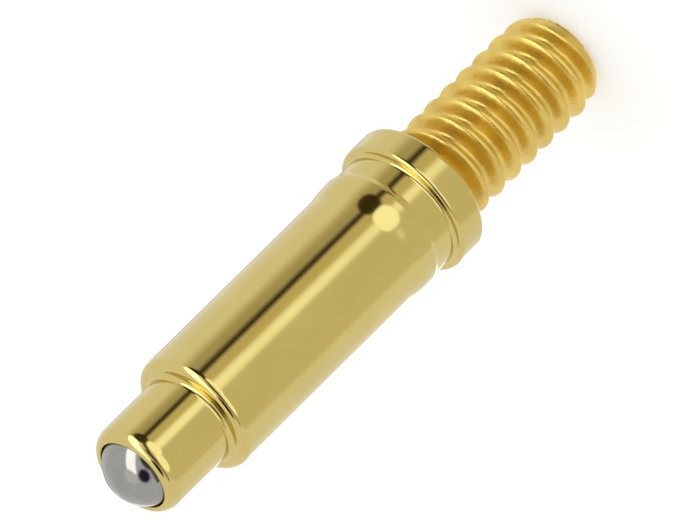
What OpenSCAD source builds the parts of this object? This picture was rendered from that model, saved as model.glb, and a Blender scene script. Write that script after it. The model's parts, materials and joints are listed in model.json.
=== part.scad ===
// Screw-mount spring contact pin with a rolling ball tip.
// Millimetres. +Z runs along the pin towards the ball. The origin is the centre
// of the flange's rear face, where the pin seats when it is screwed in.

/* [Stud] */
// Major diameter of the screw thread, drawn here as its plain envelope
thread_d = 1.54; // [1.30:0.01:1.75]
// Length of the stud behind the flange
stud_l = 3.0; // [1.6:0.1:5]
// Chamfer at the stud's free end
stud_chamfer = 0.18; // [0.05:0.01:0.25]

/* [Flange] */
// Diameter of the seating flange
flange_d = 2.10; // [2.06:0.01:2.60]
// Thickness of the seating flange
flange_t = 0.47; // [0.35:0.01:0.80]
// Radius on both edges of the flange
flange_round = 0.06; // [0.03:0.01:0.10]
// Fillet between the flange and the barrel
flange_fillet = 0.05; // [0.02:0.01:0.06]

/* [Barrel] */
// Diameter of the barrel
barrel_d = 1.85; // [1.78:0.01:1.88]
// Length of the barrel, from the flange to the front shoulder
barrel_l = 4.50; // [3.9:0.05:7]
// Radius on the barrel's front edge
barrel_round = 0.13; // [0.04:0.01:0.14]

/* [Press ring] */
// Height of the press-fit ring above the barrel
ring_h = 0.03; // [0.01:0.005:0.05]
// Plain neck between the flange and the ring
ring_neck = 0.35; // [0.15:0.01:0.60]
// Length of the steep flank that faces the flange
ring_back = 0.12; // [0.04:0.01:0.16]
// Length of the ring's full-diameter land
ring_land = 0.12; // [0.05:0.01:0.30]
// Length of the lead-in ramp that faces the tip
ring_ramp = 0.34; // [0.10:0.01:0.50]

/* [Nose] */
// Length of the nose, from the shoulder to the centre of the ball
nose_l = 0.93; // [0.90:0.01:1.60]
// Wall of the nose around the bore
nose_wall = 0.090; // [0.080:0.001:0.100]
// Fillet at the foot of the nose
nose_fillet = 0.07; // [0.02:0.01:0.08]

/* [Rolled rim] */
// How far the rolled rim reaches in over the ball
lip_catch = 0.055; // [0.035:0.005:0.075]
// Thickness of the rim's rounded edge
lip_t = 0.05; // [0.03:0.005:0.06]
// Height of the rim's outer rounding
lip_round = 0.22; // [0.15:0.01:0.28]

/* [Ball] */
// Diameter of the contact ball
ball_d = 1.20; // [1.15:0.01:1.22]

/* [Plunger] */
// Length of the plunger's guiding land
plunger_l = 1.00; // [0.70:0.05:1.50]
// Wall left around the mouth of the plunger's cup
cup_wall = 0.05; // [0.03:0.005:0.08]
// Diameter of the spigot that centres the spring
spigot_d = 0.60; // [0.40:0.01:0.70]
// Length of the spigot
spigot_l = 0.45; // [0.25:0.05:0.70]
// Chamfer on the plunger's lower edges
plunger_chamfer = 0.05; // [0.02:0.01:0.08]

/* [Spring] */
// Diameter of the spring wire
wire_d = 0.14; // [0.10:0.01:0.16]
// Number of working turns
work_turns = 12; // [6:1:14]
// Closed turns at each end
closed_turns = 1; // [1:1:2]

/* [Bore] */
// Solid floor between the bore's flat bottom and the flange's rear face
floor_t = 0.35; // [0.25:0.05:0.80]
// Diameter of the drill's point in the floor
drill_d = 0.60; // [0.30:0.01:0.70]
// Included angle of the drill's point
drill_angle = 118; // [100:1:150]

/* [Fits] */
// Radial clearance of the ball in the bore
ball_clear = 0.010; // [0.005:0.001:0.015]
// Radial clearance of the plunger in the bore
plunger_clear = 0.015; // [0.010:0.001:0.025]
// Radial clearance of the spring in the bore
spring_clear = 0.035; // [0.020:0.005:0.060]
// Gap between the ball and its cup, and between the spring's ends and their seats
seat_gap = 0.005; // [0.002:0.001:0.010]
// Gap between the closed turns of the spring
turn_gap = 0.010; // [0.005:0.001:0.020]

/* [Hidden] */
$fn = 96;
arc_steps = 8;
wire_sides = 8;
turn_steps = 16;

gold = [0.86, 0.70, 0.33];
steel = [0.72, 0.72, 0.70];

ball_r = ball_d / 2;
bore_r = ball_r + ball_clear;
nose_r = bore_r + nose_wall;
barrel_r = barrel_d / 2;
ring_r = barrel_r + ring_h;
flange_r = flange_d / 2;
thread_r = thread_d / 2;

shoulder_z = flange_t + barrel_l;
ball_z = shoulder_z + nose_l;

// Heights of the press ring's four corners
ring_foot_z = flange_t + ring_neck;
ring_land_z = ring_foot_z + ring_back;
ring_ramp_z = ring_land_z + ring_land;
ring_end_z = ring_ramp_z + ring_ramp;

// The rim's inner face is a band of a sphere about the ball's centre,
// and its edge is a half circle of the rim's own thickness.
lip_angle = acos((ball_r - lip_catch) / bore_r);
lip_x = (bore_r + lip_t / 2) * cos(lip_angle);
lip_z = ball_z + (bore_r + lip_t / 2) * sin(lip_angle);
lip_top_z = lip_z + lip_t / 2;

// The plunger's cup is a band of a sphere a seat gap wider than the ball.
cup_r = ball_r + seat_gap;
plunger_r = bore_r - plunger_clear;
cup_mouth_r = plunger_r - cup_wall;
plunger_top_z = ball_z - sqrt(cup_r * cup_r - cup_mouth_r * cup_mouth_r);
plunger_foot_z = plunger_top_z - plunger_l;

wire_r = wire_d / 2;
coil_r = bore_r - spring_clear - wire_r;
spring_low_z = floor_t + seat_gap;
spring_high_z = plunger_foot_z - seat_gap;
spring_l = spring_high_z - spring_low_z;
spring_turns = work_turns + 2 * closed_turns;
closed_pitch = wire_d + turn_gap;
work_pitch = (spring_l - 2 * closed_turns * closed_pitch) / work_turns;

// Points of an elliptical arc about [x, z], from angle a to angle b
function arc(x, z, rx, rz, a, b) = [
    for (i = [0:arc_steps])
        let (t = a + (b - a) * i / arc_steps)
        [x + rx * cos(t), z + rz * sin(t)]
];

// Points of a circular arc about [x, z], from angle a to angle b
function round_arc(x, z, r, a, b) = arc(x, z, r, r, a, b);

// Outer profile of the stud and the flange
function rear_profile() = concat(
    [[0, -stud_l], [thread_r - stud_chamfer, -stud_l], [thread_r, stud_chamfer - stud_l], [thread_r, 0]],
    round_arc(flange_r - flange_round, flange_round, flange_round, -90, 0),
    round_arc(flange_r - flange_round, flange_t - flange_round, flange_round, 0, 90),
    round_arc(barrel_r + flange_fillet, flange_t + flange_fillet, flange_fillet, 270, 180)
);

// Outer profile of the barrel with its press ring
function barrel_profile() = concat(
    [[barrel_r, ring_foot_z], [ring_r, ring_land_z], [ring_r, ring_ramp_z], [barrel_r, ring_end_z]],
    round_arc(barrel_r - barrel_round, shoulder_z - barrel_round, barrel_round, 0, 90)
);

// Outer profile of the nose, round the rolled rim and down its inner face
function nose_profile() = concat(
    round_arc(nose_r + nose_fillet, shoulder_z + nose_fillet, nose_fillet, 270, 180),
    arc(lip_x, lip_top_z - lip_round, nose_r - lip_x, lip_round, 0, 90),
    round_arc(lip_x, lip_z, lip_t / 2, 90, 180 + lip_angle),
    round_arc(0, ball_z, bore_r, lip_angle, 0)
);

// Profile of the blind bore's bottom, with the drill's point
function bore_profile() = [
    [bore_r, floor_t],
    [drill_d / 2, floor_t],
    [0, floor_t - drill_d / 2 / tan(drill_angle / 2)]
];

// One-piece turned body: stud, flange, press ring, barrel and rolled nose
module housing() {
    color(gold)
    rotate_extrude()
    polygon(concat(rear_profile(), barrel_profile(), nose_profile(), bore_profile()));
}

// Sliding plunger: a cup for the ball, a guiding land and a spigot for the spring
module plunger() {
    color(gold)
    difference() {
        translate([0, 0, plunger_foot_z])
        rotate_extrude()
        polygon([
            [0, -spigot_l],
            [spigot_d / 2 - plunger_chamfer, -spigot_l],
            [spigot_d / 2, plunger_chamfer - spigot_l],
            [spigot_d / 2, 0],
            [plunger_r - plunger_chamfer, 0],
            [plunger_r, plunger_chamfer],
            [plunger_r, plunger_l],
            [0, plunger_l]
        ]);
        translate([0, 0, ball_z])
        sphere(r = cup_r);
    }
}

// Steel ball that rolls in the plunger's cup, behind the rim
module contact_ball() {
    color(steel)
    translate([0, 0, ball_z])
    sphere(r = ball_r);
}

// Height of the wire above the spring's foot after a number of turns
function wire_rise(turn) =
    turn < closed_turns ? turn * closed_pitch :
    turn > spring_turns - closed_turns ? spring_l - (spring_turns - turn) * closed_pitch :
    closed_turns * closed_pitch + (turn - closed_turns) * work_pitch;

// One corner of the wire's section: the section is ground flat on both seats
function wire_corner(turn, b) =
    let (r = coil_r + wire_r * cos(b))
    let (z = spring_low_z + wire_rise(turn) + wire_r * sin(b))
    [r * cos(360 * turn), r * sin(360 * turn), max(spring_low_z, min(spring_high_z, z))];

// Compression spring with closed, ground ends
module spring() {
    rings = spring_turns * turn_steps;
    points = [
        for (i = [0:rings], k = [0:wire_sides - 1])
            wire_corner(i / turn_steps, 360 * (k + 0.5) / wire_sides)
    ];
    sides = [
        for (i = [0:rings - 1], k = [0:wire_sides - 1])
            let (n = (k + 1) % wire_sides, here = i * wire_sides, next = here + wire_sides)
            [here + k, here + n, next + n, next + k]
    ];
    start = [for (k = [0:wire_sides - 1]) (wire_sides + 1 - k) % wire_sides];
    finish = [for (k = [0:wire_sides - 1]) rings * wire_sides + (wire_sides / 2 + 1 + k) % wire_sides];
    color(steel)
    polyhedron(points = points, faces = concat([start], sides, [finish]));
}

housing();
plunger();
spring();
contact_ball();
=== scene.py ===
"""Looks for the screw-mount spring contact pin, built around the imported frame, in metres."""
import json
import math

import bmesh
import bpy
from mathutils import Matrix, Vector


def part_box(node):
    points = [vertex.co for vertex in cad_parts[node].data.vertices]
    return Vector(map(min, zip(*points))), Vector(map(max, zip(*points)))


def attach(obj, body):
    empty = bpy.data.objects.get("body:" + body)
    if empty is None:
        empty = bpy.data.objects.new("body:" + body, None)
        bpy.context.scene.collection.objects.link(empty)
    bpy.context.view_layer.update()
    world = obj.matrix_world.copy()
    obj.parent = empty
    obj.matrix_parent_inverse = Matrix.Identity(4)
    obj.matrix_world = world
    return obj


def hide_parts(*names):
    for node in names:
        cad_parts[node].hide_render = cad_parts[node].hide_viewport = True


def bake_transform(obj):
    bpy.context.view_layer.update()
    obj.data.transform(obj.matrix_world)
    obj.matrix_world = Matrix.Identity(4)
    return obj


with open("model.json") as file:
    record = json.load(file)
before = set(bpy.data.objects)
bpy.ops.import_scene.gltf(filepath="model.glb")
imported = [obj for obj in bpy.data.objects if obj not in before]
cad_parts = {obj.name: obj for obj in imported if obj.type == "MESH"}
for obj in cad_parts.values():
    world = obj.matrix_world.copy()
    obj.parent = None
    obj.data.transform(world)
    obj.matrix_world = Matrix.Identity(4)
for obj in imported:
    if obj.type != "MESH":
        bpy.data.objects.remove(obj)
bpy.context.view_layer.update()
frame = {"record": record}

MM = 0.001
TAU = 2 * math.pi

# ---------------------------------------------------------------- sizes from the frame
housing_low, housing_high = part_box("housing")
ball_low, ball_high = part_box("contact_ball")
plunger_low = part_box("plunger")[0]
spring_low, spring_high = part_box("spring")
mounts = {m["name"]: m for m in frame["record"]["mounts"]}

FLANGE_R = housing_high.x
THREAD_R = mounts["thread"]["dims"]["r_mm"] * MM
BARREL_R = mounts["barrel"]["dims"]["r_mm"] * MM
STUD_END_Z = housing_low.z
BALL_R = (ball_high.z - ball_low.z) / 2
BALL_Z = (ball_high.z + ball_low.z) / 2

# ---------------------------------------------------------------- sizes as in the part's source
FLANGE_T = 0.47 * MM
FLANGE_ROUND = 0.06 * MM
FLANGE_FILLET = 0.05 * MM
SHOULDER_Z = 4.97 * MM
BARREL_ROUND = 0.13 * MM
RING_H = 0.03 * MM
RING_NECK = 0.35 * MM
RING_BACK = 0.12 * MM
RING_LAND = 0.12 * MM
RING_RAMP = 0.34 * MM
NOSE_WALL = 0.09 * MM
NOSE_FILLET = 0.07 * MM
LIP_CATCH = 0.055 * MM
LIP_T = 0.05 * MM
LIP_ROUND = 0.22 * MM
BALL_CLEAR = 0.010 * MM
PLUNGER_CLEAR = 0.015 * MM
CUP_WALL = 0.05 * MM
SEAT_GAP = 0.005 * MM
SPIGOT_R = 0.30 * MM
SPIGOT_L = 0.45 * MM
PLUNGER_CHAMFER = 0.05 * MM
FLOOR_Z = 0.35 * MM
DRILL_R = 0.30 * MM
DRILL_ANGLE = math.radians(118)
DRILL_DEPTH = DRILL_R / math.tan(DRILL_ANGLE / 2)
WIRE_R = 0.07 * MM
SPRING_CLEAR = 0.035 * MM
WORK_TURNS = 12
CLOSED_TURNS = 1
TURN_GAP = 0.010 * MM

# ---------------------------------------------------------------- sizes that only the scene has
# The screw thread, M1.6 x 0.35, right-hand. Crest and root are shares of the pitch, from a crest.
PITCH = 0.35 * MM
THREAD_DEPTH = 0.55 * PITCH
THREAD_CREST = 0.03
THREAD_ROOT = 0.46
THREAD_EASE = 0.13                       # how far the flanks swell into the crest and root
CREST_PHASE_Z = -0.287 * MM              # a crest's height on the side towards +X
RUN_OUT = 0.16 * MM                      # the length that the thread fades out over, at the flange
STUD_ROUND = 0.20 * MM                   # how far the stud's free end draws in
STUD_ROUND_L = 0.50 * MM                 # the length it does so over

BORE_R = BALL_R + BALL_CLEAR
NOSE_R = BORE_R + NOSE_WALL
RING_R = BARREL_R + RING_H
LIP_ANGLE = math.acos((BALL_R - LIP_CATCH) / BORE_R)
LIP_X = (BORE_R + LIP_T / 2) * math.cos(LIP_ANGLE)
LIP_Z = BALL_Z + (BORE_R + LIP_T / 2) * math.sin(LIP_ANGLE)
LIP_TOP_Z = LIP_Z + LIP_T / 2
CUP_R = BALL_R + SEAT_GAP
PLUNGER_R = BORE_R - PLUNGER_CLEAR
CUP_MOUTH_R = PLUNGER_R - CUP_WALL
PLUNGER_TOP_Z = BALL_Z - math.sqrt(CUP_R ** 2 - CUP_MOUTH_R ** 2)
PLUNGER_FOOT_Z = plunger_low.z + SPIGOT_L

# How finely the meshes are divided
AROUND = 192
PLUNGER_AROUND = 128
ROWS_PER_PITCH = 24
BALL_CUTS = 27
SPRING_STEPS = 40
WIRE_SIDES = 16
LONGEST_HOUSING = 0.25 * MM
LONGEST_PLUNGER = 0.15 * MM
MERGE = 2e-8
DEGENERATE = 1e-8


# ---------------------------------------------------------------- mesh helpers
def arc(x, z, rx, rz, a, b, steps=10):
    """Points (radius, height) of an elliptical arc about (x, z), angles in degrees."""
    angles = [math.radians(a + (b - a) * i / steps) for i in range(steps + 1)]
    return [(x + rx * math.cos(t), z + rz * math.sin(t)) for t in angles]


def round_arc(x, z, r, a, b, steps=10):
    """The same for a circle's arc."""
    return arc(x, z, r, r, a, b, steps)


def fine(points, longest, hold=0.008 * MM):
    """The same outline with its long stretches divided and held close to both their ends."""
    out = [points[0]]
    for (r0, z0), (r1, z1) in zip(points, points[1:]):
        length = math.hypot(r1 - r0, z1 - z0)
        n = max(1, math.ceil(length / longest))
        stops = [i / n for i in range(1, n + 1)]
        if length > 6 * hold:
            stops = [hold / length] + stops[:-1] + [1 - hold / length, 1]
        out += [(r0 + (r1 - r0) * t, z0 + (z1 - z0) * t) for t in stops]
    return out


def make_object(name, verts, faces, material, smooth_angle=32):
    """A mesh object with outward faces, smooth apart from its sharp edges."""
    mesh = bpy.data.meshes.new(name)
    mesh.from_pydata(verts, [], faces)
    bm = bmesh.new()
    bm.from_mesh(mesh)
    bmesh.ops.remove_doubles(bm, verts=bm.verts, dist=MERGE)
    bmesh.ops.dissolve_degenerate(bm, edges=bm.edges, dist=DEGENERATE)
    bmesh.ops.recalc_face_normals(bm, faces=bm.faces)
    sharp = math.radians(smooth_angle)
    for edge in bm.edges:
        edge.smooth = len(edge.link_faces) == 2 and edge.calc_face_angle(0) < sharp
    for face in bm.faces:
        face.smooth = True
    bm.to_mesh(mesh)
    bm.free()
    mesh.materials.append(material)
    piece = bpy.data.objects.new(name, mesh)
    bpy.context.scene.collection.objects.link(piece)
    return piece


def grid_faces(rows, columns, first=0):
    """Quads between rows of a grid that closes on itself across its columns."""
    faces = []
    for j in range(rows - 1):
        for i in range(columns):
            n = (i + 1) % columns
            a, b = first + j * columns, first + (j + 1) * columns
            faces.append((a + i, a + n, b + n, b + i))
    return faces


def lathe(profile, around=AROUND):
    """Vertices and faces of a revolved outline; ends on the axis close in a point."""
    verts = [
        (r * math.cos(TAU * i / around), r * math.sin(TAU * i / around), z)
        for r, z in profile
        for i in range(around)
    ]
    return verts, grid_faces(len(profile), around)


# ---------------------------------------------------------------- the turned housing
def front_profile():
    """From the thread's inner end over the flange, barrel and rolled rim, and down the bore."""
    ring_foot = FLANGE_T + RING_NECK
    ring_land = ring_foot + RING_BACK
    ring_ramp = ring_land + RING_LAND
    ring_end = ring_ramp + RING_RAMP
    return (
        round_arc(FLANGE_R - FLANGE_ROUND, FLANGE_ROUND, FLANGE_ROUND, -90, 0)
        + round_arc(FLANGE_R - FLANGE_ROUND, FLANGE_T - FLANGE_ROUND, FLANGE_ROUND, 0, 90)
        + round_arc(BARREL_R + FLANGE_FILLET, FLANGE_T + FLANGE_FILLET, FLANGE_FILLET, 270, 180, steps=6)
        + soft_ring(ring_foot, ring_land, ring_ramp, ring_end)
        + round_arc(BARREL_R - BARREL_ROUND, SHOULDER_Z - BARREL_ROUND, BARREL_ROUND, 0, 90, steps=14)
        + round_arc(NOSE_R + NOSE_FILLET, SHOULDER_Z + NOSE_FILLET, NOSE_FILLET, 270, 180, steps=8)
        + arc(LIP_X, LIP_TOP_Z - LIP_ROUND, NOSE_R - LIP_X, LIP_ROUND, 0, 90, steps=16)
        + round_arc(LIP_X, LIP_Z, LIP_T / 2, 90, 180 + math.degrees(LIP_ANGLE), steps=8)
        + round_arc(0, BALL_Z, BORE_R, math.degrees(LIP_ANGLE), 0, steps=8)
        + [(BORE_R, FLOOR_Z), (DRILL_R, FLOOR_Z), (0, FLOOR_Z - DRILL_DEPTH)]
    )


def soft_ring(foot, land, ramp, end, steps=10):
    """The press ring's outline, with its corners eased as plating and tumbling leave them."""
    def ease(r0, z0, r1, z1):
        points = []
        for i in range(steps + 1):
            share = (i / steps) ** 2 * (3 - 2 * i / steps)
            points.append((r1 * share + r0 * (1 - share), z0 + (z1 - z0) * i / steps))
        return points

    return ease(BARREL_R, foot, RING_R, land) + ease(RING_R, ramp, BARREL_R, end)


def thread_radius(phase):
    """Radius of the thread, phase 0 to 1 from crest to crest, with rounded crest and root."""
    x = abs((phase + 0.5) % 1 - 0.5)          # 0 on the crest, 0.5 in the root
    t = min(1, max(0, (x - THREAD_CREST) / (THREAD_ROOT - THREAD_CREST)))
    return THREAD_R - THREAD_DEPTH * (t - THREAD_EASE * math.sin(TAU * t))


def stud_radius(angle, z):
    """Radius of the threaded stud at an angle and height, with its rounded end and run-out."""
    thread = thread_radius((z - CREST_PHASE_Z) / PITCH - angle / TAU)
    reach = min(1, -z / RUN_OUT)
    shallow = THREAD_R - (THREAD_R - thread) * reach * reach * (3 - 2 * reach)
    drop = min(1, max(0, (STUD_END_Z + STUD_ROUND_L - z) / STUD_ROUND_L))
    rounded = THREAD_R - STUD_ROUND * (1 - math.sqrt(1 - drop * drop))
    return min(shallow, rounded)


def housing_piece():
    """One closed mesh: a helical thread, then everything turned in front of it."""
    around, per_pitch = AROUND, ROWS_PER_PITCH
    first_turn = math.floor((STUD_END_Z - CREST_PHASE_Z) / PITCH) - 1
    turns = math.ceil((0 - STUD_END_Z) / PITCH) + 3
    rows = turns * per_pitch
    verts = []
    for j in range(rows + 1):
        for i in range(around):
            angle = TAU * i / around
            z = CREST_PHASE_Z + PITCH * (first_turn + j / per_pitch + i / around)
            z = min(0, max(STUD_END_Z, z))
            r = stud_radius(angle, z)
            verts.append((r * math.cos(angle), r * math.sin(angle), z))
    faces = []
    for j in range(rows):
        for i in range(around):
            here = j * around + i
            if i < around - 1:
                quad = (here, here + 1, here + around + 1, here + around)
            elif j + 1 + per_pitch <= rows:
                right = (j + per_pitch) * around
                quad = (here, right, right + around, here + around)
            else:
                continue
            faces.append(quad)
    base = len(verts)
    end_r = THREAD_R - STUD_ROUND
    end_face = [(0, STUD_END_Z), (end_r * 0.5, STUD_END_Z), (end_r, STUD_END_Z)]
    cap, cap_faces = lathe(end_face, around)
    verts += cap
    faces += [tuple(base + v for v in f) for f in cap_faces]
    base = len(verts)
    outline = [(THREAD_R, 0)] + fine(front_profile(), LONGEST_HOUSING)
    front, front_faces = lathe(outline, around)
    verts += front
    faces += [tuple(base + v for v in f) for f in front_faces]
    return make_object("housing_turned", verts, faces, gold, smooth_angle=60)


# ---------------------------------------------------------------- ball, plunger, spring
def ball_piece():
    """Contact ball as a subdivided cube pushed out to a sphere, so no pole pinches its mirror."""
    bm = bmesh.new()
    bmesh.ops.create_cube(bm, size=2)
    bmesh.ops.subdivide_edges(bm, edges=bm.edges, cuts=BALL_CUTS, use_grid_fill=True)
    for v in bm.verts:
        v.co = Vector(math.tan(c * math.pi / 4) for c in v.co).normalized() * BALL_R
        v.co.z += BALL_Z
    for f in bm.faces:
        f.smooth = True
    mesh = bpy.data.meshes.new("ball_polished")
    bm.to_mesh(mesh)
    bm.free()
    mesh.materials.append(steel)
    piece = bpy.data.objects.new("ball_polished", mesh)
    bpy.context.scene.collection.objects.link(piece)
    return piece


def plunger_piece():
    """Plunger: spigot, guiding land and a spherical cup under the ball."""
    mouth = math.degrees(math.asin((BALL_Z - PLUNGER_TOP_Z) / CUP_R))
    foot = PLUNGER_FOOT_Z
    profile = (
        [(0, foot - SPIGOT_L), (SPIGOT_R - PLUNGER_CHAMFER, foot - SPIGOT_L)]
        + [(SPIGOT_R, foot - SPIGOT_L + PLUNGER_CHAMFER), (SPIGOT_R, foot)]
        + [(PLUNGER_R - PLUNGER_CHAMFER, foot), (PLUNGER_R, foot + PLUNGER_CHAMFER)]
        + [(PLUNGER_R, PLUNGER_TOP_Z)]
        + round_arc(0, BALL_Z, CUP_R, -mouth, -90, steps=16)
    )
    verts, faces = lathe(fine(profile, LONGEST_PLUNGER), PLUNGER_AROUND)
    return make_object("plunger_turned", verts, faces, gold)


def spring_piece():
    """Round wire wound in a helix with closed, ground ends."""
    turns = WORK_TURNS + 2 * CLOSED_TURNS
    closed = 2 * WIRE_R + TURN_GAP
    low, high = spring_low.z, spring_high.z
    work = (high - low - 2 * CLOSED_TURNS * closed) / WORK_TURNS
    coil_r = BORE_R - SPRING_CLEAR - WIRE_R
    per_turn, sides = SPRING_STEPS, WIRE_SIDES
    verts = []
    for i in range(turns * per_turn + 1):
        turn = i / per_turn
        if turn < CLOSED_TURNS:
            rise = turn * closed
        elif turn > turns - CLOSED_TURNS:
            rise = high - low - (turns - turn) * closed
        else:
            rise = CLOSED_TURNS * closed + (turn - CLOSED_TURNS) * work
        for k in range(sides):
            a = TAU * (k + 0.5) / sides
            r = coil_r + WIRE_R * math.cos(a)
            z = min(high, max(low, low + rise + WIRE_R * math.sin(a)))
            verts.append((r * math.cos(TAU * turn), r * math.sin(TAU * turn), z))
    faces = grid_faces(turns * per_turn + 1, sides)
    faces.append(tuple(range(sides)))
    faces.append(tuple(turns * per_turn * sides + k for k in range(sides)))
    return make_object("spring_wound", verts, faces, wire, smooth_angle=50)


# ---------------------------------------------------------------- materials
# Colours go from the darker to the lighter cloud, roughnesses from the smoother to the duller.
GOLD_BRIGHT = ((0.615, 0.485, 0.162), (0.645, 0.515, 0.178))
# The thread's deeper, more orange gold is painted reflection: it stands in for light bounced between the
# thread's flanks.
GOLD_THREAD_PAINTED_REFLECTION = ((0.68, 0.475, 0.110), (0.81, 0.59, 0.145))
GOLD_GLOSS = (0.07, 0.13)
THREAD_FADE_Z = -0.04 * MM               # the thread's finish is full from here down
THREAD_SATIN = 0.26                      # added to the roughness on the thread
BALL_STEEL = ((0.31, 0.30, 0.265), (0.35, 0.34, 0.30))
BALL_GLOSS = (0.06, 0.12)
WIRE_STEEL = ((0.40, 0.39, 0.37), (0.50, 0.49, 0.47))
WIRE_GLOSS = (0.20, 0.36)
CLOUD_STOPS = (0.3, 0.7)                 # where in the noise the two colours stand


def principled(name, color, roughness):
    """A metal with the principled shader; colour and roughness stand until something is linked."""
    material = bpy.data.materials.new(name)
    material.use_nodes = True
    shader = material.node_tree.nodes["Principled BSDF"]
    shader.inputs["Base Color"].default_value = (*color, 1)
    shader.inputs["Metallic"].default_value = 1
    shader.inputs["Roughness"].default_value = roughness
    return material, material.node_tree, shader


def node(tree, kind, **settings):
    """A new node with its settings made."""
    made = tree.nodes.new(kind)
    for key, value in settings.items():
        setattr(made, key, value)
    return made


def math_node(tree, operation, *values):
    """The result of a calculation on numbers or sockets."""
    made = node(tree, "ShaderNodeMath", operation=operation)
    for socket, value in zip(made.inputs, values):
        if isinstance(value, (int, float)):
            socket.default_value = value
        else:
            tree.links.new(value, socket)
    return made.outputs["Value"]


def mix_color(tree, factor, under, over):
    """The first colour where the factor is 0, the second where it is 1."""
    made = node(tree, "ShaderNodeMix", data_type="RGBA")
    tree.links.new(factor, made.inputs["Factor"])
    for socket, value in ((made.inputs["A"], under), (made.inputs["B"], over)):
        if isinstance(value, tuple):
            socket.default_value = (*value, 1)
        else:
            tree.links.new(value, socket)
    return made.outputs["Result"]


def object_noise(tree, stretch, scale, detail):
    """Noise over the object's own coordinates, each scaled by its stretch first."""
    place = node(tree, "ShaderNodeTexCoord")
    mapping = node(tree, "ShaderNodeMapping")
    mapping.inputs["Scale"].default_value = stretch
    noise = node(tree, "ShaderNodeTexNoise")
    noise.inputs["Scale"].default_value = scale
    noise.inputs["Detail"].default_value = detail
    tree.links.new(place.outputs["Object"], mapping.inputs["Vector"])
    tree.links.new(mapping.outputs["Vector"], noise.inputs["Vector"])
    return noise.outputs["Fac"]


def clouded(tree, source, colors):
    """Two colours over a noise, blended between the cloud stops."""
    made = node(tree, "ShaderNodeValToRGB")
    for element, place, color in zip(made.color_ramp.elements, CLOUD_STOPS, colors):
        element.position = place
        element.color = (*color, 1)
    tree.links.new(source, made.inputs["Fac"])
    return made.outputs["Color"]


def map_range(tree, source, low, high):
    """The source's 0 to 1 brought to low to high."""
    made = node(tree, "ShaderNodeMapRange")
    made.inputs["To Min"].default_value = low
    made.inputs["To Max"].default_value = high
    tree.links.new(source, made.inputs["Value"])
    return made.outputs["Result"]


def bump(tree, source, strength, distance, normal=None):
    """Small relief from a noise, on top of another relief if one is given."""
    made = node(tree, "ShaderNodeBump")
    made.inputs["Strength"].default_value = strength
    made.inputs["Distance"].default_value = distance
    tree.links.new(source, made.inputs["Height"])
    if normal:
        tree.links.new(normal, made.inputs["Normal"])
    return made.outputs["Normal"]


def gold_plating():
    """Bright gold plate over turned brass: turning rings, cloudy plating, a satin, lumpy thread, and on
    the thread a deeper, more orange gold that is painted reflection of light bounced between its flanks.
    """
    material, tree, shader = principled("gold_plating", color=(0.63, 0.50, 0.17), roughness=0.15)
    thread = thread_zone(tree)
    cloud = object_noise(tree, stretch=(1, 1, 0.5), scale=2600, detail=3)
    bright = clouded(tree, cloud, GOLD_BRIGHT)
    # Painted reflection: the thread gets a deeper, more orange gold in place of the light bounced
    # between its flanks.
    painted_thread_reflection = clouded(tree, cloud, GOLD_THREAD_PAINTED_REFLECTION)
    tree.links.new(mix_color(tree, thread, bright, painted_thread_reflection), shader.inputs["Base Color"])
    rings = object_noise(tree, stretch=(0.02, 0.02, 1), scale=60000, detail=2)
    gloss = map_range(tree, rings, *GOLD_GLOSS)
    satin = math_node(tree, "MULTIPLY", thread, THREAD_SATIN)
    tree.links.new(math_node(tree, "ADD", gloss, satin), shader.inputs["Roughness"])
    ridges = bump(tree, rings, strength=0.10, distance=0.0008 * MM)
    soft = bump(tree, cloud, strength=0.12, distance=0.004 * MM, normal=ridges)
    rough = object_noise(tree, stretch=(1, 1, 1), scale=6000, detail=3)
    lumps = math_node(tree, "MULTIPLY", rough, thread)
    relief = bump(tree, lumps, strength=0.5, distance=0.03 * MM, normal=soft)
    tree.links.new(relief, shader.inputs["Normal"])
    return material


def thread_zone(tree):
    """1 on the threaded stud, 0 on everything in front of the flange's rear face."""
    place = node(tree, "ShaderNodeTexCoord")
    split = node(tree, "ShaderNodeSeparateXYZ")
    tree.links.new(place.outputs["Object"], split.inputs["Vector"])
    made = node(tree, "ShaderNodeMapRange", interpolation_type="SMOOTHSTEP")
    tree.links.new(split.outputs["Z"], made.inputs["Value"])
    made.inputs["From Min"].default_value = 0.0
    made.inputs["From Max"].default_value = THREAD_FADE_Z
    return made.outputs["Result"]


def polished_steel():
    """Bearing-bright steel with a faint haze."""
    material, tree, shader = principled("polished_steel", color=(0.33, 0.32, 0.28), roughness=0.08)
    haze = object_noise(tree, stretch=(1, 1, 1), scale=5200, detail=4)
    tree.links.new(clouded(tree, haze, BALL_STEEL), shader.inputs["Base Color"])
    tree.links.new(map_range(tree, haze, *BALL_GLOSS), shader.inputs["Roughness"])
    relief = bump(tree, haze, strength=0.05, distance=0.002 * MM)
    tree.links.new(relief, shader.inputs["Normal"])
    return material


def spring_wire():
    """Drawn stainless wire with faint draw lines."""
    material, tree, shader = principled("spring_wire", color=(0.45, 0.44, 0.42), roughness=0.28)
    lines = object_noise(tree, stretch=(1, 1, 0.2), scale=22000, detail=3)
    tree.links.new(clouded(tree, lines, WIRE_STEEL), shader.inputs["Base Color"])
    tree.links.new(map_range(tree, lines, *WIRE_GLOSS), shader.inputs["Roughness"])
    relief = bump(tree, lines, strength=0.1, distance=0.001 * MM)
    tree.links.new(relief, shader.inputs["Normal"])
    return material


gold = gold_plating()
steel = polished_steel()
wire = spring_wire()

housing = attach(housing_piece(), "housing")
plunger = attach(plunger_piece(), "plunger")
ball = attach(ball_piece(), "ball")
spring = spring_piece()
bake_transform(spring)
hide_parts("housing")
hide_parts("plunger")
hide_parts("contact_ball")
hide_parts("spring")

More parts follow.
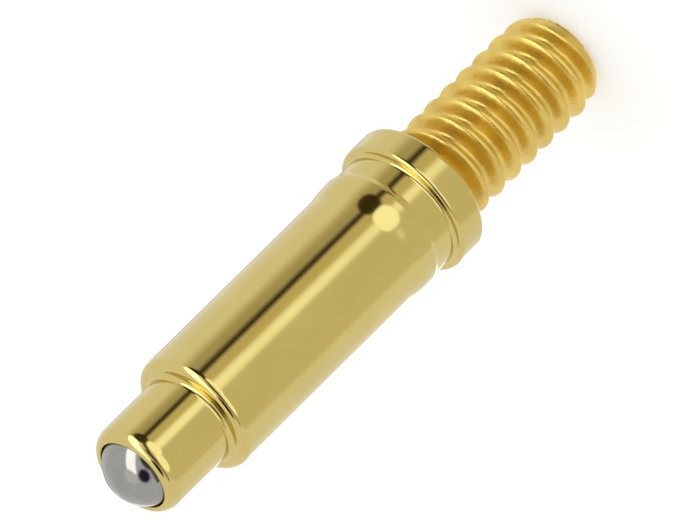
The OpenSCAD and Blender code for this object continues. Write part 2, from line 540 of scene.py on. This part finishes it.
# ---------------------------------------------------------------- camera
TILT = math.asin(0.48)                   # how far the pin's tip leans towards the camera
ROLL = math.radians(44.6)                # the pin's slope in the picture
PICTURE_WIDTH = 700 * 0.0134 * MM        # what the picture's width spans at the pin
LENS = 1000.0
SENSOR = 36.0

back = Vector((0, -math.cos(TILT), math.sin(TILT)))
along = Vector((0, -math.sin(TILT), -math.cos(TILT)))
across = Vector((-1, 0, 0))
right = along * math.cos(ROLL) + across * math.sin(ROLL)
up = along * math.sin(ROLL) - across * math.cos(ROLL)
target = Vector((-0.0145 * MM, 0, 1.5876 * MM))

camera = bpy.data.objects.new("camera", bpy.data.cameras.new("camera"))
bpy.context.scene.collection.objects.link(camera)
camera.data.lens = LENS
camera.data.sensor_width = SENSOR
distance = PICTURE_WIDTH * LENS / SENSOR
axes = Matrix((right, up, back)).transposed().to_4x4()
camera.matrix_world = Matrix.Translation(target + back * distance) @ axes
camera.data.clip_start = distance * 0.05
camera.data.clip_end = distance * 4
bpy.context.scene.camera = camera

# ---------------------------------------------------------------- studio light
# Soft lamps and dark cards far away round the pin. Each has a shape, a compass angle from the
# camera's side (positive towards -X), a height angle, a slant, half sizes and edge softness, all
# in degrees, and its colour. Later rows lie over earlier ones.
SURROUND = (0.97, 0.99, 1.04)
FLOOR_SIZE = 0.4
FLOOR_GAP = 0.02 * MM
FLOOR_SHADE = 0.65
FLOOR_GLOW = 0.42
PANELS = [
    # shape, compass, height, slant, half width, half height, softness, colour
    ("box", 40, -35, 0, 38, 70, 8, (0.82, 0.80, 0.70)),
    ("box", -58, -35, 0, 13, 60, 24, (0.55, 0.52, 0.40)),
    ("box", -24, -35, 0, 11, 60, 12, (0.76, 0.68, 0.46)),
    ("box", -50, 42, 14, 13, 41, 6, (3.0, 3.0, 3.1)),
    ("round", -44, -9, 0, 18, 19, 7, (0.06, 0.045, 0.02)),
    ("box", -42, -38, -4, 4.5, 24, 9, (0.05, 0.035, 0.01)),
    ("round", -8, -11, 0, 20, 19, 5, (1.50, 1.58, 1.70)),
    ("round", 26, 4, 0, 24, 18, 6, (1.50, 1.55, 1.60)),
    ("round", 0, 86, 0, 20, 14, 8, (1.20, 1.20, 1.20)),
    ("box", -20, 14, 48, 5, 22, 5, (0.10, 0.08, 0.04)),
    ("round", 4, 31, 0, 24, 10, 6, (0.10, 0.09, 0.08)),
    ("box", 46, 29, 8, 24, 4, 5, (0.20, 0.18, 0.15)),
    ("round", 38, 54, 0, 19, 14, 8, (0.04, 0.03, 0.08)),
    ("box", 166, -38, 0, 7, 30, 5, (1.45, 1.50, 1.55)),
    ("box", 184, -38, 0, 3.5, 30, 4, (0.14, 0.12, 0.07)),
    ("box", 193, -38, 0, 5, 30, 6, (0.62, 0.58, 0.46)),
]


def direction(compass, height):
    """Unit vector for a compass angle from the camera's side and a height angle."""
    a, h = math.radians(compass), math.radians(height)
    return Vector((-math.sin(a) * math.cos(h), -math.cos(a) * math.cos(h), math.sin(h)))


def dot(tree, vector, axis):
    """How far a direction in the shader points along an axis."""
    made = node(tree, "ShaderNodeVectorMath", operation="DOT_PRODUCT")
    tree.links.new(vector, made.inputs[0])
    made.inputs[1].default_value = axis
    return made.outputs["Value"]


def inside(tree, distance, half, soft):
    """1 where the distance is under half, fading to 0 over the soft edge."""
    made = node(tree, "ShaderNodeMapRange", interpolation_type="SMOOTHSTEP")
    tree.links.new(distance, made.inputs["Value"])
    made.inputs["From Min"].default_value = half + soft / 2
    made.inputs["From Max"].default_value = max(0, half - soft / 2)
    return made.outputs["Result"]


def panel_mask(tree, view, shape, compass, height, slant, half_w, half_h, soft):
    """How much of a panel lies in each direction, by the angles across and along it."""
    centre = direction(compass, height)
    level = Vector((0, 0, 1)).cross(centre).normalized()
    turn = Matrix.Rotation(math.radians(slant), 3, centre)
    ahead = dot(tree, view, centre)
    offsets = []
    for axis, half in ((turn @ level, half_w), (turn @ centre.cross(level), half_h)):
        angle = math_node(tree, "ARCTAN2", dot(tree, view, axis), ahead)
        offsets.append(math_node(tree, "MULTIPLY", angle, 1 / math.radians(half)))
    if shape == "round":
        squares = [math_node(tree, "MULTIPLY", offset, offset) for offset in offsets]
        reach = math_node(tree, "SQRT", math_node(tree, "ADD", *squares))
        return inside(tree, reach, 1, soft / min(half_w, half_h))
    across, along = [
        inside(tree, math_node(tree, "ABSOLUTE", offset), 1, soft / half)
        for offset, half in zip(offsets, (half_w, half_h))
    ]
    return math_node(tree, "MULTIPLY", across, along)


def rays(tree, *kinds):
    """1 for rays of the given kinds, 0 for all others."""
    path = node(tree, "ShaderNodeLightPath")
    found = path.outputs[kinds[0]]
    for kind in kinds[1:]:
        found = math_node(tree, "MAXIMUM", found, path.outputs[kind])
    return found


def choose(tree, factor, off, on):
    """One shader where the factor is 0 and the other where it is 1."""
    made = node(tree, "ShaderNodeMixShader")
    tree.links.new(factor, made.inputs["Fac"])
    tree.links.new(off, made.inputs[1])
    tree.links.new(on, made.inputs[2])
    return made.outputs["Shader"]


def studio_world():
    """Plain white to the camera and as light; the panels and cards only in what metal reflects."""
    world = bpy.data.worlds.new("studio")
    bpy.context.scene.world = world
    world.use_nodes = True
    world.cycles.sampling_method = "NONE"
    tree = world.node_tree
    view = node(tree, "ShaderNodeTexCoord").outputs["Generated"]
    color = SURROUND
    for *place, shade in PANELS:
        color = mix_color(tree, panel_mask(tree, view, *place), color, shade)
    plain = tree.nodes["Background"]
    plain.inputs["Color"].default_value = (1, 1, 1, 1)
    plain.inputs["Strength"].default_value = 1.0
    panels = node(tree, "ShaderNodeBackground")
    tree.links.new(color, panels.inputs["Color"])
    mirrored = rays(tree, "Is Glossy Ray", "Is Transmission Ray")
    surface = choose(tree, mirrored, plain.outputs["Background"], panels.outputs["Background"])
    tree.links.new(surface, tree.nodes["World Output"].inputs["Surface"])


def studio_floor():
    """A pale floor under the stud's end, which takes the pin's soft shadow.

    It is lifted to white for the camera, clear from below, and hidden from reflections, where it
    would cover the panels that lie low round the pin.
    """
    place = (0, 0, STUD_END_Z - FLOOR_GAP)
    bpy.ops.mesh.primitive_plane_add(size=FLOOR_SIZE, location=place)
    floor = bpy.context.object
    floor.name = "floor"
    floor.visible_glossy = False
    material = bpy.data.materials.new("floor")
    material.use_nodes = True
    tree = material.node_tree
    paper = node(tree, "ShaderNodeBsdfDiffuse")
    paper.inputs["Color"].default_value = (FLOOR_SHADE, FLOOR_SHADE, FLOOR_SHADE, 1)
    glow = node(tree, "ShaderNodeEmission")
    glow.inputs["Strength"].default_value = FLOOR_GLOW
    lit = node(tree, "ShaderNodeAddShader")
    tree.links.new(paper.outputs["BSDF"], lit.inputs[0])
    tree.links.new(glow.outputs["Emission"], lit.inputs[1])
    seen = rays(tree, "Is Glossy Ray", "Is Transmission Ray", "Is Camera Ray")
    above = choose(tree, seen, paper.outputs["BSDF"], lit.outputs["Shader"])
    below = node(tree, "ShaderNodeBsdfTransparent").outputs["BSDF"]
    backfacing = node(tree, "ShaderNodeNewGeometry").outputs["Backfacing"]
    surface = choose(tree, backfacing, above, below)
    tree.links.new(surface, tree.nodes["Material Output"].inputs["Surface"])
    floor.data.materials.append(material)


studio_world()
studio_floor()

bpy.context.scene.view_settings.view_transform = "Standard"
